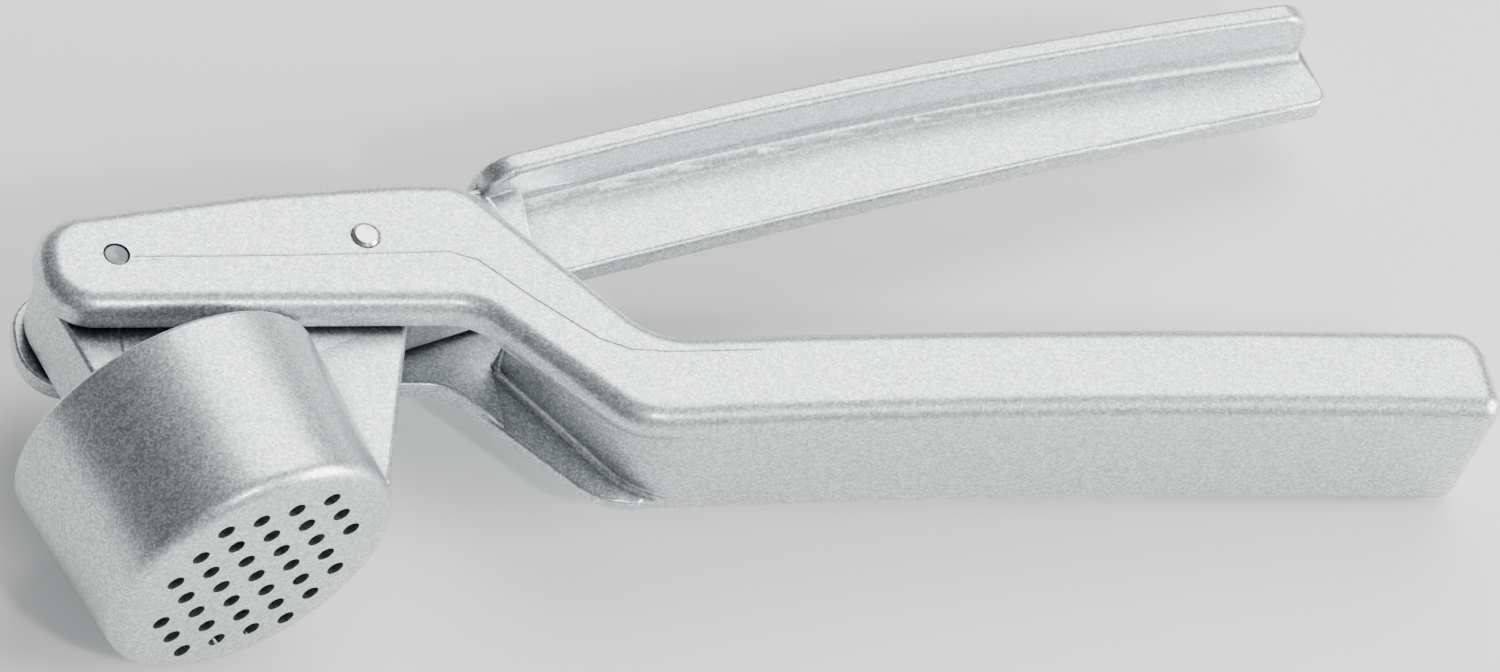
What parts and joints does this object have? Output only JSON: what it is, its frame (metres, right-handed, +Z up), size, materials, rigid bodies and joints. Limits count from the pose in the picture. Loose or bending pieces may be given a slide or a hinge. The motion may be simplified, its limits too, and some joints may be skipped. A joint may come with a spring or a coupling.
{
  "type": "garlic press",
  "caption": "Plier-type garlic press: hinged handles squeeze a plunger into a round strainer hopper.",
  "frame": {"origin": "middle of the footprint at table height, with the press lying on its side", "axes": "+X along the lower handle to its end, +Y from the lower handle to the upper one, +Z up; the two pins lean about 3 degrees from +Z, because the hopper is thicker than the handles"},
  "size_m": [0.1842, 0.0844, 0.0384],
  "materials": {
    "coated_casting": "satin silver coating with a fine metallic grain",
    "grey_steel": "plain drawn steel",
    "bright_steel": "bright steel with a smooth domed end"
  },
  "bodies": {
    "frame": {"lower_handle": "coated_casting", "plunger_pin": "grey_steel", "fulcrum_pin": "bright_steel"},
    "lever": {"upper_handle": "coated_casting"},
    "plunger": {"plunger": "coated_casting"}
  },
  "joints": [
    {"name": "handle_hinge", "type": "hinge", "parent": "frame", "child": "lever", "pos_m": [-0.04875, 0.00357, 0.01737], "axis": [0.0561, 0.0222, 0.9982], "range_deg": [-12.5, 26]},
    {"name": "plunger_hinge", "type": "hinge", "parent": "frame", "child": "plunger", "pos_m": [-0.07906, 0.00094, 0.01913], "axis": [0.0561, 0.0222, 0.9982], "range_deg": [-8.3, 17.2]}
  ],
  "couplings": [
    {"joint": "plunger_hinge", "follows": "handle_hinge", "ratio": 0.6}
  ]
}
